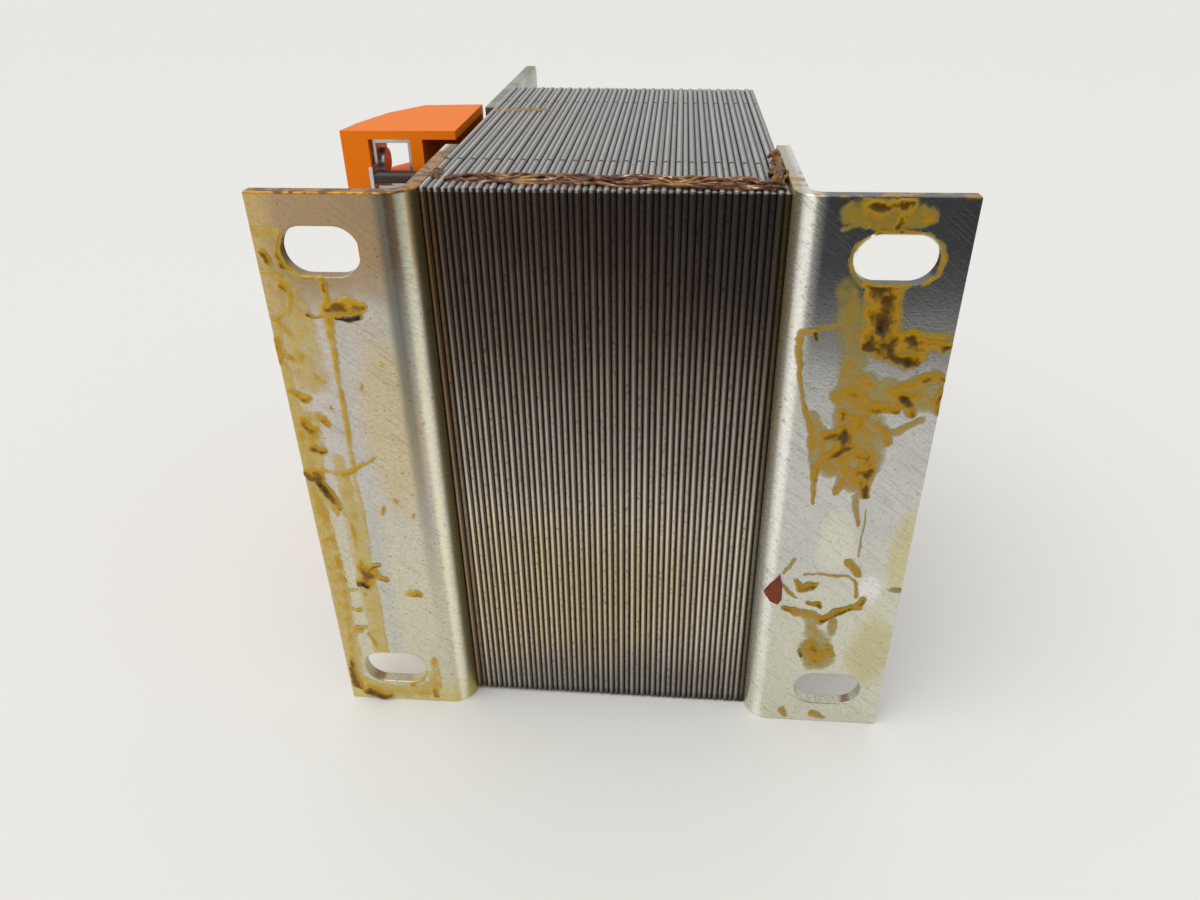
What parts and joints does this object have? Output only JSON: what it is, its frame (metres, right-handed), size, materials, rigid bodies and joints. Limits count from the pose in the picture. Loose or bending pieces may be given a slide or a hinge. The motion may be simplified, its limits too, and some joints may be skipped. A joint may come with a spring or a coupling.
{
  "type": "laminated chassis transformer",
  "caption": "Chassis transformer with a welded stack of interleaved E and I sheets, two slotted feet, a flat upper plate and a row of screw terminals along one side.",
  "frame": {"origin": "centre of the four mounting slots, on the plane that the feet are screwed down to", "axes": "+X across the stack of sheets, away from the terminals; +Y from the mounting plane into the transformer; +Z along the feet, up as it stands on the lower ends of its feet and core"},
  "size_m": [0.0674, 0.0805, 0.0677],
  "materials": {
    "core_steel": "bare sheared edges of varnished electrical steel",
    "zinc_plate": "yellow passivated zinc, brushed and resin stained",
    "weld_bead": "oxidised weld metal",
    "housing_plastic": "moulded, semi-matt",
    "bobbin_plastic": "moulded, matt",
    "copper_wire": "enamelled copper wire, wound in layers",
    "insulation_paper": "pressboard and paper, matt",
    "winding_tape": "polyester tape, satin",
    "lead_sleeve": "varnished sleeve",
    "terminal_metal": "bright nickel plated"
  },
  "bodies": {
    "root": {"core_i_sheets_near": "core_steel", "core_e_sheets_far": "core_steel", "core_e_sheets_near": "core_steel", "core_i_sheets_far": "core_steel", "foot_bracket_left": "zinc_plate", "foot_bracket_right": "zinc_plate", "upper_plate": "zinc_plate", "corner_weld": "weld_bead", "foot_weld_left": "weld_bead", "foot_weld_right": "weld_bead", "plate_weld": "weld_bead", "bobbin": "bobbin_plastic", "coil_wedges": "insulation_paper", "primary_winding": "copper_wire", "winding_barrier": "insulation_paper", "secondary_winding": "copper_wire", "coil_tape": "winding_tape", "terminal_housing": "housing_plastic", "terminal_clamps": "terminal_metal", "terminal_screws": "terminal_metal", "primary_leads": "lead_sleeve", "secondary_leads": "lead_sleeve"}
  },
  "joints": []
}
